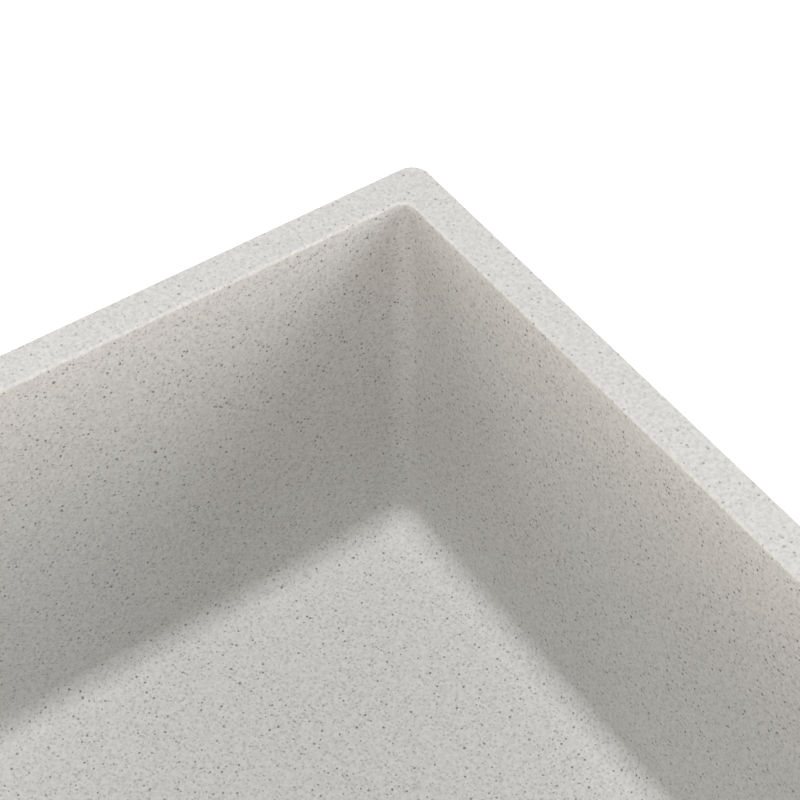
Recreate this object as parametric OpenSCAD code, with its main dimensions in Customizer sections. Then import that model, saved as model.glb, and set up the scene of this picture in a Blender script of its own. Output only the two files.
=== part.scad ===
// Undermount kitchen sink in cast granite composite, with its basket strainer and rim clips.
// Millimetres. The origin is the centre of the rim's top face. +X is to the right, +Y to the
// back and +Z up, so the bowl hangs below z = 0.

/* [Bowl] */
// Length of the rim, left to right
sink_l = 762; // [600:1:860]
// Width of the rim, front to back
sink_w = 457; // [380:1:560]
// Width of the flat rim, seen from above
rim_w = 20; // [18:0.5:30]
// Thickness of the rim
rim_t = 14; // [12:0.5:20]
// Corner radius of the rim's outer edge, seen from above
rim_corner_r = 10; // [4:0.5:30]
// Corner radius of the bowl's mouth, seen from above
mouth_corner_r = 7; // [6:0.5:30]
// Radius between walls and floor, and of the upright corners down at the floor
floor_fillet_r = 15; // [10:0.5:40]
// Depth from the rim's top to the floor beside the walls
bowl_depth = 230; // [150:1:280]
// How far each wall leans in between the rim and the floor
wall_lean = 4; // [0:0.5:12]
// Thickness of the walls
wall_t = 8; // [6:0.5:10]
// Thickness of the floor
floor_t = 11; // [9:0.5:16]
// Fall of the floor from the walls to the drain
floor_fall = 5; // [2:0.5:15]

/* [Clips] */
// Distance from the rim's end to the pivot of a corner clip
clip_end_gap = 120; // [80:1:180]
// Distance from a clip's pivot to its stud hole
clip_reach = 40; // [30:1:50]
// Thickness of a clip's steel strap
clip_t = 3; // [2:0.5:5]
// Space between a strap's edge and the edges of the ledge that it lies under
clip_edge_gap = 0.5; // [0.3:0.1:1]
// Space above and below a strap, so that it turns freely
clip_turn_gap = 0.3; // [0.1:0.1:0.8]
// Radius of the stud hole in a clip
stud_hole_r = 3.5; // [2.5:0.1:3.8]
// Radius of the clip bolts
clip_bolt_r = 2.5; // [2:0.1:3]
// Radial play of a clip on its bolt
clip_bolt_gap = 0.3; // [0.1:0.1:0.6]
// Height of a clip bolt's head
clip_bolt_head_h = 3.5; // [2:0.5:5]
// Width of a clip bolt's hexagon across its flats
clip_bolt_flats = 8; // [6:0.5:9]
// Thickness of the washers under the bolt heads
clip_washer_t = 1; // [0.5:0.1:2]
// Depth of the threaded inserts in the rim
insert_depth = 9; // [6:0.5:10]
// Wall thickness of the threaded inserts
insert_wall = 1; // [0.6:0.1:1.3]

/* [Strainer body] */
// Radius of the drain hole in the floor
drain_hole_r = 45; // [42:0.5:50]
// Radial space between the strainer's neck and the drain hole
neck_gap = 2.5; // [1:0.5:4]
// Thickness of the neck, from its lower bore to the thread's crest
neck_wall = 3.5; // [3:0.5:6]
// Width of the ledge that the basket rests on
basket_ledge_w = 2; // [1.5:0.1:2.2]
// Depth of that ledge under the floor
basket_ledge_depth = 9; // [7:0.5:12]
// How far the strainer's flange laps over the floor
flange_lap = 12; // [8:0.5:18]
// Thickness of the flange
flange_t = 1.6; // [1.2:0.1:2.5]
// Thickness of the sealing ring under the flange
flange_gasket_t = 1.4; // [1:0.1:3]
// Space between the flange's edge and its recess in the floor
recess_gap = 1; // [0.5:0.1:3]
// Depth from the floor to the seat of the stopper
cup_depth = 56; // [50:1:80]
// Thickness of the cup's bottom
cup_bottom_t = 2.5; // [1.5:0.1:4]
// Radius of the outlet's bore
outlet_bore_r = 20; // [18:0.1:21]
// Length of the outlet's thread
outlet_len = 16; // [12:0.5:24]
// Wall of the outlet, from its bore to the thread's crest
outlet_wall = 3.8; // [2.6:0.1:5]
// Width of the cross bars in the outlet
cross_bar_w = 3; // [2:0.5:5]
// Height of the cross bars
cross_bar_h = 3; // [2:0.5:5]
// Distance between two ridges of a thread
thread_pitch = 2; // [1.5:0.1:3]
// Height of a thread's ridges
thread_depth = 0.8; // [0.4:0.1:1.2]

/* [Under the floor] */
// How far the rubber ring and the locknut lap over the floor's underside
under_lap = 10; // [7:0.5:16]
// Thickness of the rubber ring
body_gasket_t = 3; // [2:0.5:5]
// Thickness of the fibre ring
friction_ring_t = 1; // [0.5:0.1:2]
// Height of the locknut
locknut_h = 12; // [8:0.5:16]
// Number of lugs around the locknut
locknut_lugs = 6; // [4:1:12]
// How far the lugs stand out of the locknut
locknut_lug_out = 4; // [2:0.5:6]
// Radial play of a nut on its thread
thread_gap = 0.1; // [0.05:0.05:0.3]
// Outer radius of the tailpiece
tailpiece_r = 19.05; // [15.5:0.05:19.05]
// Wall thickness of the tailpiece
tailpiece_wall = 1.2; // [0.8:0.1:2]
// Length of the tailpiece below the outlet
tailpiece_len = 100; // [60:1:200]
// Thickness of the tailpiece's flange
tailpiece_flange_t = 1.5; // [1:0.1:2.5]
// Thickness of the sealing washer over that flange
outlet_washer_t = 2; // [1:0.1:3]
// Thickness of the coupling nut's lip, which carries the tailpiece's flange
coupling_lip_t = 3; // [2:0.1:4]
// Space between the lip and the tailpiece
coupling_lip_gap = 1.1; // [1:0.1:1.6]
// Thickness of the coupling nut's wall at its flats
coupling_wall = 3; // [2:0.1:5]

/* [Basket] */
// Thickness of the basket's sheet steel
sheet_t = 1; // [0.6:0.1:1.4]
// Space between the basket's rim and the strainer's mouth
basket_rim_gap = 0.4; // [0.3:0.1:0.6]
// Space between the basket's wall and the neck at the basket's top
basket_wall_gap = 2.5; // [2:0.1:5]
// How far the basket's wall leans in towards its floor
basket_lean = 3.5; // [1:0.5:8]
// Width of the slope between the basket's wall and its floor
basket_chamfer = 3; // [1:0.5:5]
// Radius of the basket's round holes
hole_r = 1.75; // [1:0.05:2.2]
// Distance between two rings of holes
hole_ring_gap = 7; // [6:0.5:9]
// Metal left between the floor's holes and the spring clip or the slope
hole_margin = 1; // [0.5:0.1:2]
// Number of rows of holes in the basket's wall
wall_hole_rows = 2; // [1:1:3]
// Number of holes in one such row
wall_hole_count = 24; // [12:2:30]

/* [Post and stopper] */
// Radius of the post
post_r = 3; // [2:0.1:4]
// How far the post travels between closed and open
post_travel = 8; // [4:0.5:9]
// Space left under the basket when the post is raised
post_stop_gap = 1.4; // [0.5:0.1:3]
// Radial play of the post in its bush and clip
post_gap = 0.1; // [0.05:0.01:0.2]
// How far the post's collar stands out
collar_out = 3; // [1.5:0.1:5]
// Thickness of the collar
collar_t = 3; // [1.5:0.1:4]
// Depth of the grooves that the spring clip catches
groove_depth = 0.3; // [0.1:0.05:0.5]
// Thickness of the spring clip
post_clip_t = 0.6; // [0.3:0.1:1]
// Radius of the spring clip
post_clip_r = 9; // [8:0.5:10]
// Thickness of the bush's flange
bush_flange_t = 2; // [1:0.5:4]
// How far the bush's flange stands out of its neck
bush_flange_out = 2.5; // [1.5:0.5:3]
// Wall thickness of the bush's neck
bush_wall = 1.4; // [0.8:0.1:2]
// How far the stopper laps over the outlet
stopper_lap = 7; // [3:0.5:10]
// Thickness of the rubber stopper
stopper_t = 4; // [3:0.5:6]
// Radius of the washer over the stopper
stopper_washer_r = 14; // [10:0.5:18]
// Thickness of that washer
stopper_washer_t = 1; // [0.5:0.1:2]
// Height of the nut under the stopper
stopper_nut_h = 4; // [2:0.5:6]
// Width of that nut across its flats
stopper_nut_flats = 11; // [10:0.5:16]
// Space between that nut and the cross bars
nut_bar_gap = 1; // [0.4:0.1:4]
// How far the post's tip reaches below the cross bars
post_tip_len = 3; // [1:0.5:6]
// Play around the post's tip where the cross bars meet
hub_gap = 0.5; // [0.3:0.1:1]
// Wall around the hole where the cross bars meet
hub_wall = 2.5; // [1.5:0.1:4]
// Radius of the knob
knob_r = 9; // [7:0.5:12]
// Height of the knob
knob_h = 12; // [11:0.5:18]
// Wall of the knob's neck around the post
knob_neck_wall = 2; // [1:0.5:3]
// Depth of the knob's top under the floor, with the post down
knob_drop = 2; // [0:0.5:6]

/* [Hidden] */
$fn = 64;
hull_fn = 32;
cut = 1;
glue_gap = 0.05;

mouth_l = sink_l - 2 * rim_w;
mouth_w = sink_w - 2 * rim_w;
ledge_w = rim_w - wall_t;

// Levels under the rim's underside, where the clips hang
clip_w = ledge_w - 2 * clip_edge_gap;
clip_bottom_z = -rim_t - clip_turn_gap - clip_t;
clip_washer_z = clip_bottom_z - clip_turn_gap - clip_washer_t;
insert_r = clip_bolt_r + glue_gap + insert_wall;
clip_washer_r = clip_w / 2 - clip_edge_gap;
bolt_end_gap = 1.5;

// Each clip as its pivot's x and y, and the way that its parked strap points
side_x = sink_l / 2 - ledge_w / 2;
side_y = sink_w / 2 - ledge_w / 2;
corner_x = sink_l / 2 - clip_end_gap;
CLIPS = [
    [-corner_x, side_y, 0],
    [-clip_reach / 2, side_y, 0],
    [corner_x, side_y, 180],
    [-corner_x, -side_y, 0],
    [-clip_reach / 2, -side_y, 0],
    [corner_x, -side_y, 180],
    [-side_x, -clip_reach / 2, 90],
    [side_x, -clip_reach / 2, 90],
];

// Levels of the drain. They are counted down from drain_z, the floor's level at the drain
drain_z = -bowl_depth - floor_fall;
recess_depth = flange_t + flange_gasket_t;
thread_r = drain_hole_r - neck_gap;
cup_r = thread_r - neck_wall;
cup_mouth_r = cup_r + basket_ledge_w;
flange_r = drain_hole_r + flange_lap;
recess_r = flange_r + recess_gap;
dish_depth = 3;
cup_chamfer = 2;
cup_end = -cup_depth - cup_bottom_t;
outlet_end = cup_end - outlet_len;
outlet_r = outlet_bore_r + outlet_wall;

under_r = drain_hole_r + under_lap;
gasket_z = -floor_t - body_gasket_t;
ring_z = gasket_z - friction_ring_t;
locknut_z = ring_z - locknut_h;
locknut_flange_t = 3;
locknut_lug_w = 10;
spare_thread = 8;

washer_z = outlet_end - outlet_washer_t;
tailpiece_flange_z = washer_z - tailpiece_flange_t;
coupling_z = tailpiece_flange_z - coupling_lip_t;
coupling_top = cup_end - thread_pitch;
coupling_bore_r = outlet_r + thread_gap;
hex_flats_to_corners = 1 / cos(30);

// The post's stack, from the stopper's seat up to the basket's floor
washer_top = -cup_depth + stopper_t + stopper_washer_t;
collar_top = washer_top + collar_t;
basket_floor_z = collar_top + post_travel + post_stop_gap + post_clip_t;
stopper_r = outlet_bore_r + stopper_lap;
stopper_edge = 1;
stopper_nut_z = -cup_depth - stopper_nut_h;
cross_bar_z = stopper_nut_z - nut_bar_gap - cross_bar_h;
post_tip_z = cross_bar_z - post_tip_len;
hub_bore_r = post_r + hub_gap;
knob_top = -knob_drop;
knob_bottom = knob_top - knob_h;
knob_bore_depth = 8;
knob_neck_r = post_r + knob_neck_wall;

basket_top_r = cup_r - basket_wall_gap;
basket_floor_r = basket_top_r - basket_lean;
basket_h = -basket_ledge_depth - basket_floor_z;
bush_r = post_r + post_gap + bush_wall;
bush_flange_r = bush_r + bush_flange_out;

// The finishes, as plain colours
GRANITE = [0.80, 0.80, 0.78];
STAINLESS = [0.74, 0.75, 0.76];
ZINC = [0.62, 0.63, 0.65];
CHROME = [0.85, 0.86, 0.88];
BRASS = [0.78, 0.62, 0.30];
RUBBER = [0.10, 0.10, 0.11];
FIBRE = [0.55, 0.40, 0.27];
NYLON = [0.92, 0.92, 0.90];

// A flat plate with round corners, its underside at z = 0
module rounded_plate(l, w, r, t) {
    linear_extrude(t) {
        square([l - 2 * r, w], center = true);
        square([l, w - 2 * r], center = true);
        for (x = [-1, 1], y = [-1, 1])
            translate([x * (l / 2 - r), y * (w / 2 - r)]) circle(r);
    }
}

// Copies at the four corners of a rectangle
module at_corners(half_l, half_w, z) {
    for (x = [-half_l, half_l], y = [-half_w, half_w]) translate([x, y, z]) children();
}

// A flat ring, its underside at z
module ring(outer_r, inner_r, z, t) {
    translate([0, 0, z]) difference() {
        cylinder(r = outer_r, h = t);
        translate([0, 0, -cut]) cylinder(r = inner_r, h = t + 2 * cut);
    }
}

// A hexagonal prism, its underside at z
module hexagon(flats, z, h) {
    translate([0, 0, z]) cylinder(r = flats / 2 * hex_flats_to_corners, h = h, $fn = 6);
}

// Outline points down a row of thread ridges, from z_top to z_bottom
function ridges(r, z_top, z_bottom) =
    let (count = floor((z_top - z_bottom) / thread_pitch))
    [for (i = [0:count - 1]) each [
        [r - thread_depth, z_top - i * thread_pitch],
        [r, z_top - (i + 0.5) * thread_pitch]
    ]];

function reversed(points) = [for (i = [len(points) - 1:-1:0]) points[i]];

// The bowl's form, inside or outside: upright round corners at the mouth, ball corners at
// the floor and a level disc at the drain, which gives the floor its fall
module bowl_form(side_grow, under_grow, top_z, disc_r) {
    ball_r = floor_fillet_r + side_grow;
    ball_z = -bowl_depth - under_grow + ball_r;
    ball_inset = wall_lean + floor_fillet_r;
    hull() {
        at_corners(mouth_l / 2 - mouth_corner_r, mouth_w / 2 - mouth_corner_r, top_z)
            cylinder(r = mouth_corner_r + side_grow, h = cut, $fn = hull_fn);
        at_corners(mouth_l / 2 - ball_inset, mouth_w / 2 - ball_inset, ball_z)
            sphere(r = ball_r, $fn = hull_fn);
        translate([0, 0, drain_z - under_grow])
            cylinder(r = disc_r, h = cut, $fn = 2 * hull_fn);
    }
}

module bowl() {
    color(GRANITE) difference() {
        union() {
            translate([0, 0, -rim_t]) rounded_plate(sink_l, sink_w, rim_corner_r, rim_t);
            bowl_form(wall_t, floor_t, -rim_t / 2, recess_r + wall_t);
        }
        bowl_form(0, 0, 0, recess_r + cut);
        translate([0, 0, drain_z - recess_depth])
            cylinder(r = recess_r, h = recess_depth + floor_fall);
        translate([0, 0, drain_z - floor_t - cut])
            cylinder(r = drain_hole_r, h = floor_t + floor_fall);
        for (c = CLIPS) translate([c[0], c[1], -rim_t - cut])
            cylinder(r = insert_r + glue_gap, h = insert_depth + cut);
    }
}

module rim_inserts() {
    color(BRASS) for (c = CLIPS) translate([c[0], c[1], 0])
        ring(insert_r, clip_bolt_r + glue_gap, -rim_t, insert_depth);
}

module clip_bolts() {
    color(ZINC) for (c = CLIPS) translate([c[0], c[1], 0]) {
        hexagon(clip_bolt_flats, clip_washer_z - clip_bolt_head_h, clip_bolt_head_h);
        translate([0, 0, clip_washer_z - cut])
            cylinder(r = clip_bolt_r, h = -rim_t + insert_depth - bolt_end_gap - clip_washer_z + cut);
    }
}

module clip_washers() {
    color(ZINC) for (c = CLIPS) translate([c[0], c[1], 0])
        ring(clip_washer_r, clip_bolt_r + glue_gap, clip_washer_z, clip_washer_t);
}

// One clip in its parked place: a strap with round ends, a pivot hole and a stud hole
module clip(place) {
    color(STAINLESS) translate([place[0], place[1], clip_bottom_z]) rotate([0, 0, place[2]])
        difference() {
            linear_extrude(clip_t) {
                circle(clip_w / 2);
                translate([clip_reach, 0]) circle(clip_w / 2);
                translate([0, -clip_w / 2]) square([clip_reach, clip_w]);
            }
            translate([0, 0, -cut]) cylinder(r = clip_bolt_r + clip_bolt_gap, h = clip_t + 2 * cut);
            translate([clip_reach, 0, -cut]) cylinder(r = stud_hole_r, h = clip_t + 2 * cut);
        }
}

// Everything from here on is placed from the floor's level at the drain
module at_drain() {
    translate([0, 0, drain_z]) children();
}

module flange_gasket() {
    color(RUBBER) at_drain() ring(flange_r, drain_hole_r, -recess_depth, flange_gasket_t);
}

module strainer_body() {
    color(STAINLESS) at_drain() {
        rotate_extrude() polygon(concat(
            [
                [flange_r - flange_t / 2, 0],
                [drain_hole_r, 0],
                [cup_mouth_r, -dish_depth],
                [cup_mouth_r, -basket_ledge_depth],
                [cup_r, -basket_ledge_depth],
                [cup_r, cup_chamfer - cup_depth],
                [cup_r - cup_chamfer, -cup_depth],
                [outlet_bore_r, -cup_depth],
                [outlet_bore_r, outlet_end],
                [outlet_r - thread_depth, outlet_end],
            ],
            reversed(ridges(outlet_r, cup_end - thread_pitch, outlet_end)),
            [
                [outlet_r - thread_depth, cup_end],
                [cup_r, cup_end],
                [thread_r - thread_depth, cup_end + thread_pitch + cup_bottom_t],
            ],
            reversed(ridges(thread_r, -dish_depth - thread_pitch, locknut_z - spare_thread)),
            [
                [thread_r, -dish_depth - cut],
                [drain_hole_r - neck_gap / 5, -flange_t],
                [flange_r, -flange_t],
                [flange_r, -flange_t / 2],
            ]
        ));
        cross_bars();
    }
}

// Four bars in the outlet, around a hole that guides the post's tip
module cross_bars() {
    hub_r = hub_bore_r + hub_wall;
    ring(hub_r, hub_bore_r, cross_bar_z, cross_bar_h);
    for (a = [0:90:270]) rotate([0, 0, a])
        translate([hub_r - cut, -cross_bar_w / 2, cross_bar_z])
            cube([outlet_bore_r + cut - hub_r + cut / 2, cross_bar_w, cross_bar_h]);
}

module body_gasket() {
    color(RUBBER) at_drain() ring(under_r, thread_r + thread_gap, gasket_z, body_gasket_t);
}

module friction_ring() {
    color(FIBRE) at_drain() ring(under_r, thread_r + thread_gap, ring_z, friction_ring_t);
}

module locknut() {
    body_r = under_r - locknut_lug_out;
    color(ZINC) at_drain() difference() {
        union() {
            translate([0, 0, ring_z - locknut_flange_t]) cylinder(r = under_r, h = locknut_flange_t);
            translate([0, 0, locknut_z]) cylinder(r = body_r, h = locknut_h);
            for (i = [0:locknut_lugs - 1]) rotate([0, 0, i * 360 / locknut_lugs])
                translate([0, -locknut_lug_w / 2, locknut_z])
                    cube([under_r + locknut_lug_out, locknut_lug_w, locknut_h - cut]);
        }
        translate([0, 0, locknut_z - cut]) cylinder(r = thread_r + thread_gap, h = locknut_h + 2 * cut);
    }
}

module outlet_washer() {
    color(RUBBER) at_drain()
        ring(outlet_r - thread_depth, tailpiece_r - tailpiece_wall, washer_z, outlet_washer_t);
}

module tailpiece() {
    flange_out_r = outlet_r - thread_depth;
    bore_r = tailpiece_r - tailpiece_wall;
    tail_end = outlet_end - tailpiece_len;
    color(CHROME) at_drain() rotate_extrude() polygon([
        [bore_r, washer_z],
        [flange_out_r, washer_z],
        [flange_out_r, tailpiece_flange_z],
        [tailpiece_r, tailpiece_flange_z],
        [tailpiece_r, tail_end],
        [bore_r, tail_end],
    ]);
}

module coupling_nut() {
    flats = 2 * (coupling_bore_r + coupling_wall);
    color(CHROME) at_drain() difference() {
        hexagon(flats, coupling_z, coupling_top - coupling_z);
        translate([0, 0, tailpiece_flange_z])
            cylinder(r = coupling_bore_r, h = coupling_top - tailpiece_flange_z + cut);
        translate([0, 0, coupling_z - cut])
            cylinder(r = tailpiece_r + coupling_lip_gap, h = coupling_lip_t + 2 * cut);
    }
}

// The perforated basket, its rim lying on the ledge in the neck
module basket_cup() {
    wall_step = basket_h / (wall_hole_rows + 2);
    color(STAINLESS) at_drain() difference() {
        rotate_extrude() polygon([
            [cup_mouth_r - basket_rim_gap, -basket_ledge_depth],
            [basket_top_r, -basket_ledge_depth],
            [basket_floor_r, basket_floor_z + basket_chamfer],
            [basket_floor_r - basket_chamfer, basket_floor_z],
            [bush_r + glue_gap, basket_floor_z],
            [bush_r + glue_gap, basket_floor_z + sheet_t],
            [basket_floor_r - basket_chamfer - sheet_t / 2, basket_floor_z + sheet_t],
            [basket_floor_r - sheet_t, basket_floor_z + basket_chamfer + sheet_t / 2],
            [basket_top_r - sheet_t, sheet_t - basket_ledge_depth],
            [cup_mouth_r - basket_rim_gap, sheet_t - basket_ledge_depth],
        ]);
        for (row = [1:wall_hole_rows], i = [0:wall_hole_count - 1])
            rotate([0, 0, (i + row / 2) * 360 / wall_hole_count])
                translate([basket_floor_r - 2 * sheet_t, 0, basket_floor_z + (row + 1) * wall_step])
                    rotate([0, 90, 0]) cylinder(r = hole_r, h = cup_r - basket_floor_r + 2 * sheet_t);
        floor_holes();
    }
}

// Rings of round holes through the basket's floor, outside the spring clip
module floor_holes() {
    first_r = post_clip_r + hole_margin + hole_r;
    last_r = basket_floor_r - basket_chamfer - hole_margin - hole_r;
    for (r = [first_r:hole_ring_gap:last_r]) {
        count = floor(2 * PI * r / hole_ring_gap);
        for (i = [0:count - 1]) rotate([0, 0, i * 360 / count])
            translate([r, 0, basket_floor_z - cut]) cylinder(r = hole_r, h = sheet_t + 2 * cut);
    }
}

module basket_bush() {
    color(NYLON) at_drain() difference() {
        union() {
            translate([0, 0, basket_floor_z]) cylinder(r = bush_r, h = sheet_t + cut);
            translate([0, 0, basket_floor_z + sheet_t]) cylinder(r = bush_flange_r, h = bush_flange_t);
        }
        translate([0, 0, basket_floor_z - cut])
            cylinder(r = post_r + post_gap, h = sheet_t + bush_flange_t + 2 * cut);
    }
}

// A star of six spring fingers around the post
module post_clip() {
    slot_w = 1;
    rim = 2;
    color(STAINLESS) at_drain() difference() {
        ring(post_clip_r, post_r + post_gap, basket_floor_z - post_clip_t, post_clip_t);
        for (a = [0:60:300]) rotate([0, 0, a])
            translate([0, -slot_w / 2, basket_floor_z - post_clip_t - cut])
                cube([post_clip_r - rim, slot_w, post_clip_t + 2 * cut]);
    }
}

// The post, with a collar over the stopper's washer and a groove for each of its two places
module post() {
    closed_z = basket_floor_z - post_clip_t / 2;
    grooves = [closed_z - post_travel, closed_z];
    tip = post_r / 3;
    color(STAINLESS) at_drain() rotate_extrude() polygon(concat(
        [
            [0, post_tip_z],
            [post_r - tip, post_tip_z],
            [post_r, post_tip_z + tip],
            [post_r, washer_top],
            [post_r + collar_out, washer_top],
            [post_r + collar_out, collar_top],
            [post_r, collar_top],
        ],
        [for (z = grooves) each [
            [post_r, z - post_clip_t],
            [post_r - groove_depth, z - post_clip_t / 2],
            [post_r - groove_depth, z + post_clip_t / 2],
            [post_r, z + post_clip_t],
        ]],
        [
            [post_r, knob_bottom + knob_bore_depth],
            [0, knob_bottom + knob_bore_depth],
        ]
    ));
}

// A mushroom knob with a domed top and a blind hole for the post
module knob() {
    dome_h = knob_h / 4;
    edge_z = knob_top - dome_h;
    color(STAINLESS) at_drain() rotate_extrude() polygon(concat(
        [
            [0, knob_bottom + knob_bore_depth],
            [post_r + glue_gap, knob_bottom + knob_bore_depth],
            [post_r + glue_gap, knob_bottom],
            [knob_neck_r, knob_bottom],
            [knob_neck_r, knob_bottom + knob_h / 4],
            [knob_r, edge_z - knob_h / 6],
            [knob_r, edge_z],
        ],
        [for (a = [15:15:90]) [knob_r * cos(a), edge_z + dome_h * sin(a)]]
    ));
}

module stopper_washer() {
    color(STAINLESS) at_drain()
        ring(stopper_washer_r, post_r + glue_gap, washer_top - stopper_washer_t, stopper_washer_t);
}

module stopper() {
    bore_r = post_r + glue_gap;
    color(RUBBER) at_drain() rotate_extrude() polygon([
        [bore_r, -cup_depth],
        [stopper_r - stopper_edge, -cup_depth],
        [stopper_r, stopper_edge - cup_depth],
        [stopper_r, stopper_t - stopper_edge - cup_depth],
        [stopper_r - 2 * stopper_edge, stopper_t - cup_depth],
        [bore_r, stopper_t - cup_depth],
    ]);
}

module stopper_nut() {
    color(STAINLESS) at_drain() difference() {
        hexagon(stopper_nut_flats, stopper_nut_z, stopper_nut_h);
        translate([0, 0, stopper_nut_z - cut])
            cylinder(r = post_r + glue_gap, h = stopper_nut_h + 2 * cut);
    }
}

bowl();
rim_inserts();
clip_bolts();
clip_washers();
clip(CLIPS[0]);  // clip_back_left
clip(CLIPS[1]);  // clip_back_mid
clip(CLIPS[2]);  // clip_back_right
clip(CLIPS[3]);  // clip_front_left
clip(CLIPS[4]);  // clip_front_mid
clip(CLIPS[5]);  // clip_front_right
clip(CLIPS[6]);  // clip_left
clip(CLIPS[7]);  // clip_right
flange_gasket();
strainer_body();
body_gasket();
friction_ring();
locknut();
outlet_washer();
tailpiece();
coupling_nut();
basket_cup();
basket_bush();
post_clip();
post();
knob();
stopper_washer();
stopper();
stopper_nut();
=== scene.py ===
# %% [markdown]
# # An undermount sink in cast granite composite
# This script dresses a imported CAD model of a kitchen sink: the pale speckled bowl, its basket
# strainer and the steel clips that hang it under a worktop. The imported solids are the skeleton.
# They keep every piece in its real place, in metres, with the top of the rim at z = 0, +X to the
# right and +Y to the back. Blender adds what solids lack, which is softened edges, turned and cast
# surfaces, and finishes that are worked out from noise instead of from pictures.

import math

import bmesh
import bpy
from mathutils import Matrix, Vector


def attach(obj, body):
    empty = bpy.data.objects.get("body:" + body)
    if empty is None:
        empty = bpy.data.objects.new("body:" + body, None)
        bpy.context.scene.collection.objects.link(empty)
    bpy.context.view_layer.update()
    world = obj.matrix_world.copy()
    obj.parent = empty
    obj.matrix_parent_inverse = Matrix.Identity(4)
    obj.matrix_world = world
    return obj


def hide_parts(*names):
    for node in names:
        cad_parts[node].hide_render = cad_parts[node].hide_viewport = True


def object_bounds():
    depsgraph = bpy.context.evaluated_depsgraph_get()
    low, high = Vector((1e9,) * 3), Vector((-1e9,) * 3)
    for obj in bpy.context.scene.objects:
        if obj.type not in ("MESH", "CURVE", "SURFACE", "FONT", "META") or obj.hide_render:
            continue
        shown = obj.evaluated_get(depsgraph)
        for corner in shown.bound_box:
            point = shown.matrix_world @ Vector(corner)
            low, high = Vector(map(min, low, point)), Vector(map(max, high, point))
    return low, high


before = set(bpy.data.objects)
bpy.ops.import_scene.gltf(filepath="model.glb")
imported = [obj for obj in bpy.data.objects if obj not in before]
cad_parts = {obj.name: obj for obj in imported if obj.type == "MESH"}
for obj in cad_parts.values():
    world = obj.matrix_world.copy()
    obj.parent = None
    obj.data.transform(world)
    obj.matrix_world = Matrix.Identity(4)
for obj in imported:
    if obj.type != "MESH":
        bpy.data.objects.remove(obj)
solid_low, solid_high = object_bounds()
scene = bpy.context.scene
scene.view_settings.view_transform = "Standard"
MM = 0.001
print("box of the solids in mm:", [round(v / MM, 1) for v in (*solid_low, *solid_high)])

# %% [markdown]
# ## The camera
# The picture looks down into one corner of the bowl from the front left, with a long lens. A
# camera could be moved by eye until it fits, but the picture's own straight edges say more. Their
# vanishing directions give the turn, the tilt and the lens, and the rim's outer corner then fixes
# the distance. So the camera is placed from that one corner, and nothing is left to taste.

# %% Stand the camera where the picture was taken
LENS = 85.0
SENSOR = 36.0
PICTURE = 800
RIM_CORNER = Vector((381, 228.5, 0)) * MM
CORNER_PIXEL = (417.0, 160.5)
CORNER_DISTANCE = 0.9105
TURN, TILT, ROLL = (math.radians(degrees) for degrees in (-34.3, 48.39, -0.46))

flat = math.cos(TILT)
back = Vector((math.sin(TURN) * flat, -math.cos(TURN) * flat, math.sin(TILT)))
level = Vector((0, 0, 1)).cross(back).normalized()
right = math.cos(ROLL) * level + math.sin(ROLL) * back.cross(level)
up = back.cross(right)
per_pixel = CORNER_DISTANCE * SENSOR / (LENS * PICTURE)
stand = RIM_CORNER + back * CORNER_DISTANCE
stand -= right * (CORNER_PIXEL[0] - PICTURE / 2) * per_pixel
stand += up * (CORNER_PIXEL[1] - PICTURE / 2) * per_pixel

camera = bpy.data.objects.new("camera", bpy.data.cameras.new("camera"))
camera.data.lens = LENS
camera.data.sensor_width = SENSOR
camera.data.clip_start = 0.01
camera.matrix_world = Matrix.Translation(stand) @ Matrix((right, up, back)).transposed().to_4x4()
scene.collection.objects.link(camera)
scene.camera = camera
print("the camera stands at", [round(v, 3) for v in stand])

# %% [markdown]
# ## Node recipes
# Finishes and repeated shapes are both node trees. Wired by hand in the editor they are easy to
# read, but in a script each node costs several lines. A small helper adds a node, sets it up and
# joins its sockets in one line, so a recipe reads from its first node to its last.

# %% A helper that adds nodes and joins them
class Recipe:
    """Builds one node tree, node by node."""

    def __init__(self, tree):
        self.tree = tree

    def add(self, kind, inputs=None, **settings):
        node = self.tree.nodes.new(kind)
        for name, value in settings.items():
            setattr(node, name, value)
        for name, value in (inputs or {}).items():
            if isinstance(value, bpy.types.NodeSocket):
                self.tree.links.new(value, node.inputs[name])
            else:
                node.inputs[name].default_value = value
        return node

    def math(self, operation, a, b=0.0, c=0.0):
        return self.add("ShaderNodeMath", {0: a, 1: b, 2: c}, operation=operation).outputs[0]

    def vector(self, x=0.0, y=0.0, z=0.0):
        return self.add("ShaderNodeCombineXYZ", {0: x, 1: y, 2: z}).outputs[0]

    def ramp(self, value, low, high, to_low=0.0, to_high=1.0, kind="LINEAR"):
        """Maps value from low..high to to_low..to_high, and holds it at the ends."""
        wires = {"Value": value, "From Min": low, "From Max": high, "To Min": to_low, "To Max": to_high}
        return self.add("ShaderNodeMapRange", wires, interpolation_type=kind).outputs["Result"]

    def between(self, value, low, high, to_low=0.0, to_high=1.0):
        """A ramp with a soft start and end."""
        return self.ramp(value, low, high, to_low, to_high, "SMOOTHSTEP")

    def blend(self, share, a, b):
        """Colour a where share is 0 and colour b where it is 1."""
        return self.add("ShaderNodeMix", {0: share, 6: a, 7: b}, data_type="RGBA").outputs[2]


# %% [markdown]
# ## Studio light
# The picture has a white ground and very soft light. The rim and the floor are bright, the two walls
# are nearly alike, and both grow darker towards the corner where they meet. Light from one side alone
# can't do that. Most of it has to fall from above, and the rest from two sides that look along the
# walls, so that near the corner each wall stands in the other's light. So one wide soft box hangs
# high up, two weak ones look along the walls, and a band of sky over the horizon fills the shadows.
# Their level is chosen so that a surface that looks up comes out about as light as its colour. The
# white ground is not made by more light: the sky and the floor only look white to rays that come
# from the camera or from a polished surface. Near the sink the floor keeps the shadow, and further
# out it fades to plain white.

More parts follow.
